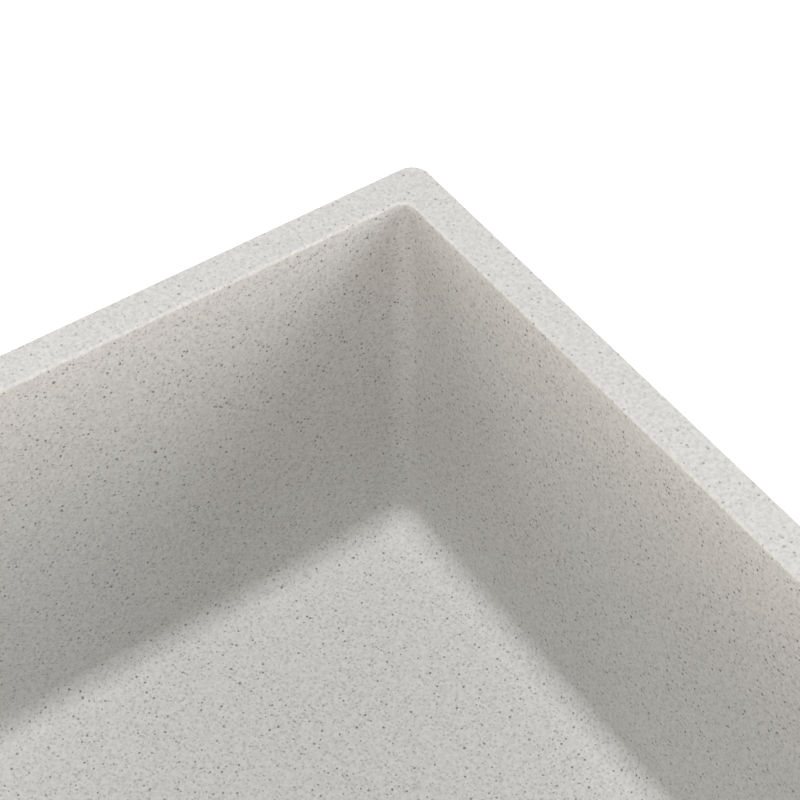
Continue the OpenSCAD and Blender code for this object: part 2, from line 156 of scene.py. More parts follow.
# %% A band of sky over the horizon
SKY_BAND = (2.55, 2.35, 2.15, 1)
BAND_START, BAND_END = 0.05, 0.45
WHITE = (1, 1, 1, 1)


def seen_share(recipe):
    """1 for rays from the camera or off polished and clear surfaces, 0 for the light's own rays."""
    path = recipe.add("ShaderNodeLightPath")
    mirror = recipe.math("MAXIMUM", path.outputs["Is Glossy Ray"], path.outputs["Is Transmission Ray"])
    return recipe.math("MAXIMUM", path.outputs["Is Camera Ray"], mirror)


scene.world = bpy.data.worlds.new("studio")
scene.world.use_nodes = True
scene.world.node_tree.nodes.clear()
sky = Recipe(scene.world.node_tree)
direction = sky.add("ShaderNodeTexCoord").outputs["Generated"]
height = sky.add("ShaderNodeSeparateXYZ", {0: direction}).outputs["Z"]
band = sky.ramp(height, BAND_START, BAND_END, 1.0, 0.0)
lit = sky.add("ShaderNodeBackground", {"Color": SKY_BAND, "Strength": band}).outputs[0]
shown = sky.add("ShaderNodeBackground", {"Color": WHITE, "Strength": 1.0}).outputs[0]
mixed = sky.add("ShaderNodeMixShader", {0: seen_share(sky), 1: lit, 2: shown}).outputs[0]
sky.add("ShaderNodeOutputWorld", {"Surface": mixed})
print("the sky's band is", SKY_BAND)

# %% Three soft boxes
AIM = (0.1, 0.1, -0.1)


def soft_box(name, place, side, power, tint):
    """A square area lamp at place that faces the bowl. Sizes in metres, power in watts."""
    lamp = bpy.data.lights.new(name, "AREA")
    lamp.shape = "RECTANGLE"
    lamp.size, lamp.size_y = side, side
    lamp.energy = power
    lamp.color = tint
    holder = bpy.data.objects.new(name, lamp)
    holder.location = place
    holder.rotation_euler = (Vector(AIM) - Vector(place)).to_track_quat("-Z", "Y").to_euler()
    scene.collection.objects.link(holder)


soft_box("soft_box_above", (0.0, 0.0, 3.2), 0.8, 59.0, (0.985, 0.981, 1.0))
soft_box("soft_box_right", (1.3, -1.3, 0.7), 0.7, 8.8, (0.907, 0.941, 1.0))
soft_box("soft_box_back", (-0.8, 1.5, 1.3), 0.7, 5.5, (0.93, 1.0, 0.957))
print("soft boxes:", len(bpy.data.lights))

# %% The floor
FLOOR_HALF = 6.0
FLOOR_GREY = (0.8, 0.8, 0.8, 1)
FADE_START, FADE_END = 0.7, 3.0
LIFT_NEAR, LIFT_FAR = 0.6, 1.0


def studio_floor(z, half):
    """A pale floor that keeps the shadow near the sink and fades to white further out."""
    mesh = bpy.data.meshes.new("studio_floor")
    corners = [(-half, -half, z), (half, -half, z), (half, half, z), (-half, half, z)]
    mesh.from_pydata(corners, [], [(0, 1, 2, 3)])
    material = bpy.data.materials.new("studio_floor")
    material.use_nodes = True
    material.node_tree.nodes.clear()
    paint = Recipe(material.node_tree)
    matt = paint.add("ShaderNodeBsdfDiffuse", {"Color": FLOOR_GREY}).outputs[0]
    place = paint.add("ShaderNodeTexCoord").outputs["Object"]
    away = paint.add("ShaderNodeVectorMath", {0: place}, operation="LENGTH").outputs["Value"]
    fade = paint.ramp(away, FADE_START, FADE_END, LIFT_NEAR, LIFT_FAR)
    lift = paint.math("MULTIPLY", seen_share(paint), fade)
    glow = paint.add("ShaderNodeEmission", {"Color": WHITE, "Strength": lift}).outputs[0]
    top = paint.add("ShaderNodeAddShader", {0: matt, 1: glow}).outputs[0]
    under = paint.add("ShaderNodeBsdfTransparent").outputs[0]
    side = paint.add("ShaderNodeNewGeometry").outputs["Backfacing"]
    both = paint.add("ShaderNodeMixShader", {0: side, 1: top, 2: under}).outputs[0]
    paint.add("ShaderNodeOutputMaterial", {"Surface": both})
    mesh.materials.append(material)
    floor = bpy.data.objects.new("studio_floor", mesh)
    scene.collection.objects.link(floor)


floor_z = solid_low.z - 0.5 * MM
studio_floor(floor_z, FLOOR_HALF)
print("the floor lies at", round(floor_z / MM, 1), "mm")

# %% [markdown]
# ## The granite finish
# Granite composite is quartz sand in acrylic resin. Close up it is a pale, slightly warm grey with
# three things in it: a fine cloudiness from the sand, pale grains, and dark grains from half a
# millimetre to a millimetre and a half wide, which look soft because many lie just under the
# surface. A cell texture gives each grain its own place and random size. It is read in the object's
# own space, so a grain at an edge is cut through, as in a real casting, and no seam shows. On the
# rim's flat top the grains are painted weaker, so their strength falls with height. That is painted
# light: the lower contrast that head-on light gives a face that looks up, not a change in the stone.

# %% Noise and grains
def new_finish(name):
    """An empty material, with a recipe and its place in object space."""
    material = bpy.data.materials.new(name)
    material.use_nodes = True
    material.node_tree.nodes.clear()
    recipe = Recipe(material.node_tree)
    return material, recipe, recipe.add("ShaderNodeTexCoord").outputs["Object"]


def cloud(recipe, place, size_mm, detail=2.0):
    """Smooth noise whose lumps are about size_mm wide, between 0 and 1."""
    wires = {"Vector": place, "Scale": 1 / (size_mm * MM), "Detail": detail}
    return recipe.add("ShaderNodeTexNoise", wires).outputs["Fac"]


def shaken(recipe, place, size_mm, reach_mm):
    """A place pushed to and fro by noise, which makes round things in it uneven."""
    wires = {"Vector": place, "Scale": 1 / (size_mm * MM), "Detail": 1.0}
    noise = recipe.add("ShaderNodeTexNoise", wires).outputs["Color"]
    wires = {0: noise, 1: (reach_mm * MM,) * 3, 2: place}
    return recipe.add("ShaderNodeVectorMath", wires, operation="MULTIPLY_ADD").outputs[0]


def grains(recipe, place, cell_mm, share, radius_mm, soft_mm):
    """1 inside grains and 0 between them. Each cell holds one grain or none, the sizes vary."""
    cells = recipe.add("ShaderNodeTexVoronoi", {"Vector": place, "Scale": 1 / (cell_mm * MM)})
    draw = recipe.add("ShaderNodeSeparateColor", {"Color": cells.outputs["Color"]}).outputs[0]
    radius = recipe.ramp(draw, 1 - share, 1.0, 0.35 * radius_mm / cell_mm, radius_mm / cell_mm)
    there = recipe.math("GREATER_THAN", draw, 1 - share)
    reach = recipe.math("SUBTRACT", radius, cells.outputs["Distance"])
    half = soft_mm / cell_mm / 2
    return recipe.math("MULTIPLY", recipe.between(reach, -half, half), there)


def finish(material, recipe, shader_inputs, bump, bump_mm, bump_strength):
    """Ends a recipe in one Principled shader with a bump."""
    wires = {"Height": bump, "Distance": bump_mm * MM, "Strength": bump_strength}
    shader_inputs["Normal"] = recipe.add("ShaderNodeBump", wires).outputs[0]
    shader = recipe.add("ShaderNodeBsdfPrincipled", shader_inputs)
    recipe.add("ShaderNodeOutputMaterial", {"Surface": shader.outputs[0]})
    return material


# %% The speckled stone
STONE_DARKER, STONE_LIGHTER = (0.804, 0.797, 0.772, 1), (0.827, 0.82, 0.795, 1)
SAND, SAND_SHARE = (0.53, 0.52, 0.50, 1), 0.34
# Painted light: on the rim's flat top the grains keep only this share of their strength, for the lower
# contrast of head-on light
RIM_TOP_LIGHT_GRAIN_SHARE = 0.6
GRAINS = [
    # cell, share of the cells that hold a grain, radius and softness, strength and colour. In mm
    (1.5, 0.5, 0.6, 0.5, 0.7, (0.95, 0.94, 0.92, 1)),
    (1.9, 0.6, 0.85, 0.8, 0.42, (0.36, 0.36, 0.36, 1)),
    (1.5, 0.5, 0.55, 0.45, 0.6, (0.25, 0.25, 0.25, 1)),
    (2.6, 0.42, 0.68, 0.5, 0.88, (0.12, 0.12, 0.13, 1)),
]


def granite_finish():
    """Pale stone with a cloudy ground of sand, four kinds of grain and a pebbled skin."""
    material, recipe, place = new_finish("speckled_granite")
    height = recipe.add("ShaderNodeSeparateXYZ", {0: place}).outputs["Z"]
    # Painted light: the grains weaken on the rim's flat top, where head-on light makes them show less
    clear = recipe.between(height, -3 * MM, -0.5 * MM, 1.0, RIM_TOP_LIGHT_GRAIN_SHARE)
    place = recipe.add("ShaderNodeMapping", {"Vector": place, "Rotation": (0.6, 0.9, 0.3)}).outputs[0]
    colour = recipe.blend(cloud(recipe, place, 90), STONE_DARKER, STONE_LIGHTER)
    sand = recipe.between(cloud(recipe, place, 2.0, 4.0), 0.36, 0.64)
    colour = recipe.blend(recipe.math("MULTIPLY", sand, SAND_SHARE), colour, SAND)
    uneven = shaken(recipe, place, 0.9, 0.6)
    for cell, share, radius, soft, strength, tone in GRAINS:
        spread = recipe.math("MULTIPLY", clear, strength)
        mask = recipe.math("MULTIPLY", grains(recipe, uneven, cell, share, radius, soft), spread)
        colour = recipe.blend(mask, colour, tone)
    roughness = recipe.between(cloud(recipe, place, 0.8, 3.0), 0.3, 0.7, 0.46, 0.58)
    skin = recipe.math("MULTIPLY_ADD", cloud(recipe, place, 2.2), 2.0, cloud(recipe, place, 0.8))
    inputs = {"Base Color": colour, "Roughness": roughness, "Specular IOR Level": 0.4}
    return finish(material, recipe, inputs, skin, 0.06, 0.7)


granite = granite_finish()
print("kinds of grain in the stone:", len(GRAINS))

# %% [markdown]
# ## Trees of geometry nodes
# What repeats is not modelled again and again. A tree makes one of it and puts it in every place, and
# its named inputs say how large it is. The tree ends in Realize Instances and Set Material, it is
# worked out once, and only the plain mesh is kept.

# %% Start a tree and work it out
def started_tree(name, **sizes):
    """An empty geometry tree with named inputs. Whole numbers are counts, others are sizes."""
    tree = bpy.data.node_groups.new(name, "GeometryNodeTree")
    tree.interface.new_socket("Geometry", in_out="INPUT", socket_type="NodeSocketGeometry")
    for label, value in sizes.items():
        kind = "NodeSocketInt" if isinstance(value, int) else "NodeSocketFloat"
        tree.interface.new_socket(label, in_out="INPUT", socket_type=kind)
    tree.interface.new_socket("Geometry", in_out="OUTPUT", socket_type="NodeSocketGeometry")
    recipe = Recipe(tree)
    recipe.sizes = sizes
    return recipe, recipe.add("NodeGroupInput").outputs


def worked_out(recipe, shape, material, start):
    """Ends the tree, sets its inputs, runs it on the start mesh and returns a plain mesh."""
    real = recipe.add("GeometryNodeRealizeInstances", {0: shape}).outputs[0]
    dressed = recipe.add("GeometryNodeSetMaterial", {"Geometry": real, "Material": material}).outputs[0]
    recipe.add("NodeGroupOutput", {0: dressed})
    holder = bpy.data.objects.new(recipe.tree.name, start)
    scene.collection.objects.link(holder)
    modifier = holder.modifiers.new("shape", "NODES")
    modifier.node_group = recipe.tree
    for item in recipe.tree.interface.items_tree:
        if item.in_out == "INPUT" and item.name in recipe.sizes:
            modifier[item.identifier] = recipe.sizes[item.name]
    mesh = bpy.data.meshes.new_from_object(holder.evaluated_get(bpy.context.evaluated_depsgraph_get()))
    mesh.name = recipe.tree.name
    bpy.data.objects.remove(holder)
    print(f"{mesh.name}: {len(mesh.polygons)} faces out of the tree")
    return mesh


def points_mesh(name, places):
    """A mesh of loose points, for a tree to put things on. Places in millimetres."""
    mesh = bpy.data.meshes.new(name)
    mesh.from_pydata([Vector(p) * MM for p in places], [], [])
    return mesh


# %% Shapes and steps that the trees share
def rod(recipe, sides, radius, length):
    """An upright cylinder with its middle at the origin."""
    wires = {"Vertices": sides, "Radius": radius, "Depth": length}
    return recipe.add("GeometryNodeMeshCylinder", wires).outputs[0]


def circle(recipe, steps, radius):
    """A flat round line with its middle at the origin."""
    wires = {"Resolution": steps, "Radius": radius}
    return recipe.add("GeometryNodeCurvePrimitiveCircle", wires).outputs[0]


def moved(recipe, shape, by):
    return recipe.add("GeometryNodeTransform", {"Geometry": shape, "Translation": by}).outputs[0]


def gathered(recipe, *shapes):
    """Several shapes as one, in the order given."""
    join = recipe.add("GeometryNodeJoinGeometry")
    for shape in shapes:
        recipe.tree.links.new(shape, join.inputs[0])
    return join.outputs[0]


def cut_out(recipe, whole, tools):
    """The whole with the tools taken out of it."""
    wires = {"Mesh 1": whole, "Mesh 2": tools}
    return recipe.add("GeometryNodeMeshBoolean", wires, operation="DIFFERENCE", solver="EXACT").outputs[0]


def set_on(recipe, points, shape, **turn):
    """One of the shape on every point, turned by the angles that are given."""
    wires = {"Points": points, "Instance": shape}
    if turn:
        wires["Rotation"] = recipe.vector(**turn)
    return recipe.add("GeometryNodeInstanceOnPoints", wires).outputs[0]


# %% [markdown]
# ## The bowl
# The real bowl is one casting, about 8 mm thick, poured between two moulds. A box with bevels would
# miss how its corners change: they are tight at the mouth and widen towards the floor, and the
# floor falls from its straight edges to a round drain. Both follow one rule, a ring that is a
# rectangle with round corners and that can turn into a circle. So the bowl is lofted: a list of
# such rings, from the drain's bore up over the floor, walls and rim and down the outside again, is
# joined ring to ring, and the last ring meets the first, which closes the casting.

# %% Rings of a rectangle with round corners
CORNER_STEPS = 16
LONG_STEPS = 14
SHORT_STEPS = 8


def ring_points(half_l, half_w, corner_r, z):
    """Points once round, anticlockwise from above. Sizes in millimetres, points in metres."""
    reach_x, reach_y = half_l - corner_r, half_w - corner_r
    signs = [(1, 1), (-1, 1), (-1, -1), (1, -1)]
    points = []
    for quarter, (sx, sy) in enumerate(signs):
        for step in range(CORNER_STEPS + 1):
            a = math.radians(90 * (quarter + step / CORNER_STEPS))
            points.append((sx * reach_x + corner_r * math.cos(a), sy * reach_y + corner_r * math.sin(a)))
        last = points[-1]
        nx, ny = signs[(quarter + 1) % 4]
        a = math.radians(90 * (quarter + 1))
        following = (nx * reach_x + corner_r * math.cos(a), ny * reach_y + corner_r * math.sin(a))
        steps = SHORT_STEPS if quarter % 2 else LONG_STEPS
        for step in range(1, steps):
            t = step / steps
            points.append((last[0] + t * (following[0] - last[0]), last[1] + t * (following[1] - last[1])))
    return [Vector((x * MM, y * MM, z * MM)) for x, y in points]


def arc(start, end, steps):
    """Angles from start to end degrees, in radians, both ends included."""
    return [math.radians(start + (end - start) * i / steps) for i in range(steps + 1)]


print("steps round one corner:", CORNER_STEPS)

# %% [markdown]
# The list of rings is the bowl's section. Every size is the solid's own: a 762 x 457 mm rim that is
# 20 mm wide and 14 mm thick, walls that lean in 4 mm, a 15 mm fillet at the floor and a recess
# that takes the strainer's flange. Only the rounding of the edges is added here: the rim's top
# edges are eased by 1.5 mm, which the picture shows as a thin bright line along the inner edge. A
# flat face next to a rounding gets one more ring close by, so that the shading's bend stays in the
# rounding.

# %% The casting's sizes, in millimetres
# The rim and the mouth are each half a length, half a width and a corner radius
RIM = (381.0, 228.5, 10.0)
MOUTH = (361.0, 208.5, 7.0)
RIM_THICKNESS = 14
TOP_EASE, UNDER_EASE = 1.5, 0.8
WALL, LEAN, CORNER_GAIN = 8, 4, 8

# The floor's straight edge lies inside its fillet, and from there the floor falls to the drain
FLOOR_EDGE = (342.0, 189.5)
FLOOR_CORNER, FLOOR_Z, FLOOR_THICKNESS, FILLET = 6, -230, 11, 15
DRAIN_R = 45.0
DRAIN_Z = -235.0
FALL_R, UNDER_R = 59.5, 66
RECESS_R, RECESS_Z, RECESS_EASE = 58, -238, 0.7
BORE_EASE, BORE_UNDER_EASE = 0.4, 0.6

inner_end = FLOOR_Z + FILLET
under_z = FLOOR_Z - FLOOR_THICKNESS
drain_under_z = DRAIN_Z - FLOOR_THICKNESS
outer_fillet = FILLET + WALL
outer_end = under_z + outer_fillet
outer_top = -RIM_THICKNESS / 2
print("the fillet ends at", inner_end, "mm inside and", outer_end, "mm outside")


# %% The shapes that the section's rings follow
def grown(ring, amount, z):
    """A ring moved outwards by amount, its corners kept concentric."""
    return (ring[0] + amount, ring[1] + amount, ring[2] + amount, z)


def disc(radius, z):
    return (radius, radius, radius, z)


def shell(z, top, lean_to, extra):
    """A leaning wall's ring at z: from the top ring at z = top to ball corners at z = lean_to."""
    t = (z - top) / (lean_to - top)
    lean = LEAN * t
    return (MOUTH[0] + extra - lean, MOUTH[1] + extra - lean, MOUTH[2] + extra + CORNER_GAIN * t, z)


def ball(angle, radius, z):
    """The fillet between wall and floor at an angle from level, 0, to straight down, 90 degrees."""
    out = radius * math.cos(angle)
    corner = out + FLOOR_CORNER * math.sin(angle) ** 2
    return (FLOOR_EDGE[0] + out, FLOOR_EDGE[1] + out, corner, z - radius * math.sin(angle))


def floor_ring(t, disc_r, z_disc, z_edge):
    """t = 0 is the round drain, t = 1 the floor's straight edge."""
    return (
        disc_r + (FLOOR_EDGE[0] - disc_r) * t,
        disc_r + (FLOOR_EDGE[1] - disc_r) * t,
        disc_r + (FLOOR_CORNER - disc_r) * t,
        z_disc + (z_edge - z_disc) * t,
    )


# %% The section of the casting, from the bore to the rim and back down
section = [disc(DRAIN_R, drain_under_z + BORE_UNDER_EASE), disc(DRAIN_R, RECESS_Z - BORE_EASE)]
section += [disc(DRAIN_R + BORE_EASE, RECESS_Z), disc(RECESS_R - BORE_EASE, RECESS_Z)]
section += [disc(RECESS_R, RECESS_Z + BORE_EASE)]
for a in arc(0, 90, 4):
    out, down = RECESS_EASE * (1 - math.cos(a)), RECESS_EASE * (1 - math.sin(a))
    section.append(disc(RECESS_R + out, DRAIN_Z - down))
for t in (0, 0.04, 0.1, 0.2, 0.35, 0.5, 0.65, 0.8, 0.9, 0.96, 1):
    section.append(floor_ring(t, FALL_R, DRAIN_Z, FLOOR_Z))
section += [ball(a, FILLET, inner_end) for a in arc(85, 0, 14)]
section += [shell(z, 0, inner_end, 0) for z in (-212, -195, -160, -120, -80, -40, -12, -4)]
for a in arc(0, 90, 6):
    section.append(grown(MOUTH, TOP_EASE * (1 - math.cos(a)), -TOP_EASE * (1 - math.sin(a))))
section += [grown(MOUTH, TOP_EASE + 0.5, 0), grown(MOUTH, 9, 0), grown(RIM, -TOP_EASE - 0.5, 0)]
for a in arc(0, 90, 6):
    section.append(grown(RIM, -TOP_EASE * (1 - math.sin(a)), -TOP_EASE * (1 - math.cos(a))))
section += [grown(RIM, 0, -4), grown(RIM, 0, -12.6)]
for a in arc(0, 90, 3):
    z = UNDER_EASE - RIM_THICKNESS - UNDER_EASE * math.sin(a)
    section.append(grown(RIM, -UNDER_EASE * (1 - math.cos(a)), z))
section.append(grown(RIM, -1.2, -RIM_THICKNESS))
for z in (-RIM_THICKNESS, -14.6, -16, -40, -90, -150, -200, -216):
    section.append(shell(z, outer_top, outer_end, WALL))
section += [ball(a, outer_fillet, outer_end) for a in arc(0, 85, 14)]
section += [floor_ring(t, UNDER_R, drain_under_z, under_z) for t in (1, 0.9, 0.6, 0.3, 0)]
section.append(disc(DRAIN_R + BORE_UNDER_EASE, drain_under_z))
print("rings in the section:", len(section))


# %% Join the rings into one closed casting
def wall_faces(rings, n):
    """Four-sided faces between rings of n points each, the last ring joined to the first."""
    faces = []
    for ring in range(rings):
        here, there = ring * n, (ring + 1) % rings * n
        for i in range(n):
            j = (i + 1) % n
            faces.append((here + i, here + j, there + j, there + i))
    return faces


def lofted(name, rings):
    """A closed mesh through the rings."""
    points = [p for ring in rings for p in ring_points(*ring)]
    mesh = bpy.data.meshes.new(name)
    mesh.from_pydata(points, [], wall_faces(len(rings), len(points) // len(rings)))
    return mesh


SAME_PLACE = 1e-7
SHARP_DEGREES = 35


def tidied(mesh):
    """Merges doubled points, turns every face outwards and shades all but the sharp edges smooth."""
    shape = bmesh.new()
    shape.from_mesh(mesh)
    bmesh.ops.remove_doubles(shape, verts=shape.verts, dist=SAME_PLACE)
    bmesh.ops.dissolve_degenerate(shape, edges=shape.edges, dist=SAME_PLACE)
    bmesh.ops.delete(shape, geom=[edge for edge in shape.edges if not edge.link_faces], context="EDGES")
    bmesh.ops.recalc_face_normals(shape, faces=shape.faces)
    loose = sum(1 for edge in shape.edges if not edge.is_manifold)
    shape.to_mesh(mesh)
    shape.free()
    mesh.polygons.foreach_set("use_smooth", [True] * len(mesh.polygons))
    mesh.set_sharp_from_angle(angle=math.radians(SHARP_DEGREES))
    return loose


def shown_piece(name, mesh, body, nodes, material):
    """Puts a finished mesh in the scene, on its body, in place of the solids that it stands for."""
    mesh.materials.clear()
    mesh.materials.append(material)
    loose = tidied(mesh)
    piece = bpy.data.objects.new(name, mesh)
    scene.collection.objects.link(piece)
    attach(piece, body)
    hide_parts(*nodes)
    print(f"{name}: {len(mesh.polygons)} faces, {loose} open edges")


bowl_mesh = lofted("cast_bowl", section)
tidied(bowl_mesh)
print("faces in the casting:", len(bowl_mesh.polygons))

# %% [markdown]
# ## The holes for the inserts
# Eight holes are drilled up into the rim's underside, where brass inserts are glued in. The same
# eight places serve the inserts, bolts, washers and straps later on. A tree puts a drill bit on
# every place and takes them all out of the casting in one cut.

# %% The eight places under the rim
SIDE_X, SIDE_Y, CORNER_X, REACH = 375.0, 222.5, 261.0, 40.0
CLIPS = {
    # where the clip turns, its turn at rest in degrees, and its body
    "clip_back_left": (-CORNER_X, SIDE_Y, 0, "back_left_clip"),
    "clip_back_mid": (-REACH / 2, SIDE_Y, 0, "back_mid_clip"),
    "clip_back_right": (CORNER_X, SIDE_Y, 180, "back_right_clip"),
    "clip_front_left": (-CORNER_X, -SIDE_Y, 0, "front_left_clip"),
    "clip_front_mid": (-REACH / 2, -SIDE_Y, 0, "front_mid_clip"),
    "clip_front_right": (CORNER_X, -SIDE_Y, 180, "front_right_clip"),
    "clip_left": (-SIDE_X, -REACH / 2, 90, "left_clip"),
    "clip_right": (SIDE_X, -REACH / 2, 90, "right_clip"),
}


def eight_places(z):
    """The eight places at one height, in millimetres."""
    return [(x, y, z) for x, y, _, _ in CLIPS.values()]


print("places under the rim:", len(CLIPS))

# %% Drill the casting with a tree
BIT_Z = -10
recipe, sizes = started_tree("cast_bowl", Hole_Radius=3.6 * MM, Bit_Length=10.0 * MM)
bit = rod(recipe, 32, sizes["Hole_Radius"], sizes["Bit_Length"])
bits = gathered(recipe, *[moved(recipe, bit, Vector(place) * MM) for place in eight_places(BIT_Z)])
drilled = worked_out(recipe, cut_out(recipe, sizes["Geometry"], bits), granite, bowl_mesh)
shown_piece("cast_bowl", drilled, "root", ["bowl"], granite)

# %% [markdown]
# ## Metal, rubber, fibre and nylon finishes
# A metal's look is mostly in how its roughness varies. A lathe leaves fine rings around the axis, a
# rolled and brushed strap has long streaks, a casting has a pebbled skin and a plated nut a faint
# cloudy bloom. So each finish starts from one noise that is stretched the way that the tool moved.
# Convex edges are rubbed bright, which the Pointiness of the surface gives without any picture.

# %% Marks that a tool leaves
def turned_marks(recipe, place, pitch_mm):
    """Noise in rings round the upright axis, as left by a lathe or a polishing wheel."""
    x, y, z = recipe.add("ShaderNodeSeparateXYZ", {0: place}).outputs
    squares = recipe.math("ADD", recipe.math("MULTIPLY", x, x), recipe.math("MULTIPLY", y, y))
    return cloud(recipe, recipe.vector(x=recipe.math("SQRT", squares), z=z), pitch_mm)


def brushed_marks(recipe, place, along, pitch_mm, stretch=40.0):
    """Noise in long streaks along x or y."""
    scale = (1 / stretch, 1, 1) if along == "x" else (1, 1 / stretch, 1)
    streaks = recipe.add("ShaderNodeMapping", {"Vector": place, "Scale": scale}).outputs[0]
    return cloud(recipe, streaks, pitch_mm)


def worn_edges(recipe, width=0.06):
    """1 along convex edges, 0 on flat and hollow places."""
    edge = recipe.add("ShaderNodeNewGeometry").outputs["Pointiness"]
    return recipe.between(edge, 0.5 + width / 3, 0.5 + width)


def metal_finish(name, colour, dull, roughness, marks, mark_mm, bump_strength=0.06):
    """A metal whose colour and roughness follow the tool's marks and a cloudy bloom."""
    material, recipe, place = new_finish(name)
    if marks == "turned":
        tool = turned_marks(recipe, place, mark_mm)
    elif marks in "xy":
        tool = brushed_marks(recipe, place, marks, mark_mm)
    else:
        tool = cloud(recipe, place, mark_mm, 3.0)
    bloom = cloud(recipe, place, 14, 3.0)
    edge = worn_edges(recipe)
    share = recipe.math("MULTIPLY", recipe.between(bloom, 0.3, 0.75), 0.6)
    share = recipe.math("ADD", share, recipe.math("MULTIPLY", recipe.between(tool, 0.3, 0.7), 0.3))
    tone = recipe.blend(recipe.math("SUBTRACT", share, edge), (*colour, 1), (*dull, 1))
    rough = recipe.between(tool, 0.3, 0.7, *roughness)
    rough = recipe.math("ADD", rough, recipe.math("MULTIPLY", bloom, 0.08))
    rough = recipe.math("SUBTRACT", rough, recipe.math("MULTIPLY", edge, 0.08))
    rough = recipe.math("MAXIMUM", rough, 0.03)
    inputs = {"Base Color": tone, "Metallic": 1.0, "Roughness": rough}
    return finish(material, recipe, inputs, tool, 0.05, bump_strength)


STRAP_STEEL = (0.46, 0.46, 0.455), (0.31, 0.305, 0.30), (0.28, 0.48)
stainless = metal_finish(
    "turned_stainless", (0.56, 0.56, 0.565), (0.44, 0.44, 0.445), (0.15, 0.28), "turned", 0.35
)
zinc_plate = metal_finish(
    "bright_zinc_plate", (0.50, 0.51, 0.53), (0.37, 0.38, 0.39), (0.26, 0.42), "cast", 0.8
)
strap_steel_x = metal_finish("strap_steel_along_x", *STRAP_STEEL, "x", 0.4, 0.15)
strap_steel_y = metal_finish("strap_steel_along_y", *STRAP_STEEL, "y", 0.4, 0.15)
zinc_casting = metal_finish(
    "cast_zinc", (0.38, 0.39, 0.40), (0.26, 0.265, 0.27), (0.40, 0.58), "cast", 0.9, 0.35
)
chrome = metal_finish(
    "polished_chrome", (0.62, 0.63, 0.645), (0.60, 0.61, 0.625), (0.04, 0.08), "turned", 0.5, 0.01
)
brass = metal_finish("drawn_brass", (0.60, 0.42, 0.16), (0.42, 0.29, 0.12), (0.22, 0.36), "turned", 0.3)
spring_steel = metal_finish("spring_steel", (0.42, 0.42, 0.43), (0.30, 0.30, 0.31), (0.2, 0.34), "x", 0.4)
print("metal finishes: 8")


# %% Soft and moulded finishes
def soft_finish(name, colour, faded, roughness, grain_mm, bump_strength):
    """A moulded or pressed material: a cloudy tone, a fine skin and lighter, rubbed edges."""
    material, recipe, place = new_finish(name)
    bloom = recipe.between(cloud(recipe, place, 9, 4.0), 0.3, 0.75)
    edge = worn_edges(recipe)
    share = recipe.math("ADD", recipe.math("MULTIPLY", bloom, 0.5), recipe.math("MULTIPLY", edge, 0.4))
    tone = recipe.blend(share, (*colour, 1), (*faded, 1))
    grain = cloud(recipe, place, grain_mm, 3.0)
    rough = recipe.between(grain, 0.3, 0.7, *roughness)
    return finish(material, recipe, {"Base Color": tone, "Roughness": rough}, grain, 0.08, bump_strength)


rubber = soft_finish("black_rubber", (0.045, 0.045, 0.05), (0.09, 0.09, 0.095), (0.55, 0.75), 0.5, 0.3)
fibre = soft_finish("pressed_fibre", (0.50, 0.36, 0.24), (0.62, 0.48, 0.34), (0.75, 0.92), 0.4, 0.5)
nylon = soft_finish("white_nylon", (0.88, 0.88, 0.85), (0.80, 0.79, 0.74), (0.3, 0.42), 0.6, 0.1)
print("soft finishes: 3")

# %% [markdown]
# ## A lathe for the drain's pieces
# The strainer body, its rings, the post and the tailpiece are turned or pressed round one axis on the
# real object too. A Screw modifier could turn them, but it knows neither threads nor hexagons. So a
# profile is turned in code: each of its corners may name the radius that eases it, and a rule may
# hold a point in or push it out by its angle. One rule winds a thread, and another cuts a hexagon.

# %% Ease a profile and turn it
TURN_STEPS = 96
EASE_STEPS = 4


def eased(profile):
    """The closed profile's points, each corner that names a radius rounded by it."""
    points = []
    for i, corner in enumerate(profile):
        here = Vector(corner[:2])
        if len(corner) < 3:
            points.append(tuple(here))
            continue
        before = Vector(profile[i - 1][:2]) - here
        after = Vector(profile[(i + 1) % len(profile)][:2]) - here
        reach = min(corner[2], 0.48 * before.length, 0.48 * after.length)
        start, end = here + before.normalized() * reach, here + after.normalized() * reach
        for step in range(EASE_STEPS + 1):
            t = step / EASE_STEPS
            points.append(tuple((1 - t) ** 2 * start + 2 * t * (1 - t) * here + t * t * end))
    return points


def turned(name, profile, rule=None, angles=None):
    """Turns a profile of (radius, height) in mm, counted from the drain, round the drain's axis."""
    angles = angles or [360 * i / TURN_STEPS for i in range(TURN_STEPS)]
    points = []
    for radius, z in profile:
        for degrees in angles:
            r = rule(radius, z, degrees) if rule else radius
            a = math.radians(degrees)
            points.append((r * math.cos(a) * MM, r * math.sin(a) * MM, (z + DRAIN_Z) * MM))
    mesh = bpy.data.meshes.new(name)
    mesh.from_pydata(points, [], wall_faces(len(profile), len(angles)))
    return mesh


def turned_piece(name, profile, body, node, slot, material, rule=None, angles=None):
    """Turns a profile and shows it as a piece of its own."""
    shown_piece(name, turned(name, profile, rule, angles), body, [node], material)


print("a lathe with", TURN_STEPS, "steps round")


# %% Rules for threads and hexagons
def thread_rule(low, high, crest, pitch=2.0, depth=0.8, fade=1.5):
    """Winds a thread into every point that lies at the crest radius between two heights."""

    def rule(r, z, degrees):
        if abs(r - crest) > 0.01 or not low < z < high:
            return r
        ridge = abs(2 * ((z / pitch + degrees / 360) % 1) - 1)
        run_out = min(1, (high - z) / fade, (z - low) / fade)
        return crest - depth * (1 - ridge * run_out)

    return rule


def hexagon_rule(flats, from_r):
    """Cuts six flats into the points that lie further out than from_r."""

    def rule(r, z, degrees):
        off = (degrees + 30) % 60 - 30
        return min(r, flats / 2 / math.cos(math.radians(off))) if r > from_r else r

    return rule


def corner_cone(flats, share, drop, steps):
    """The cone that cuts a hexagon's corners: radii, and how far below the face each one lies."""
    inner, outer = flats / 2 * share, flats / 2 / math.cos(math.radians(30))
    return [(inner + (outer - inner) * t / steps, t / steps * drop) for t in range(steps + 1)]


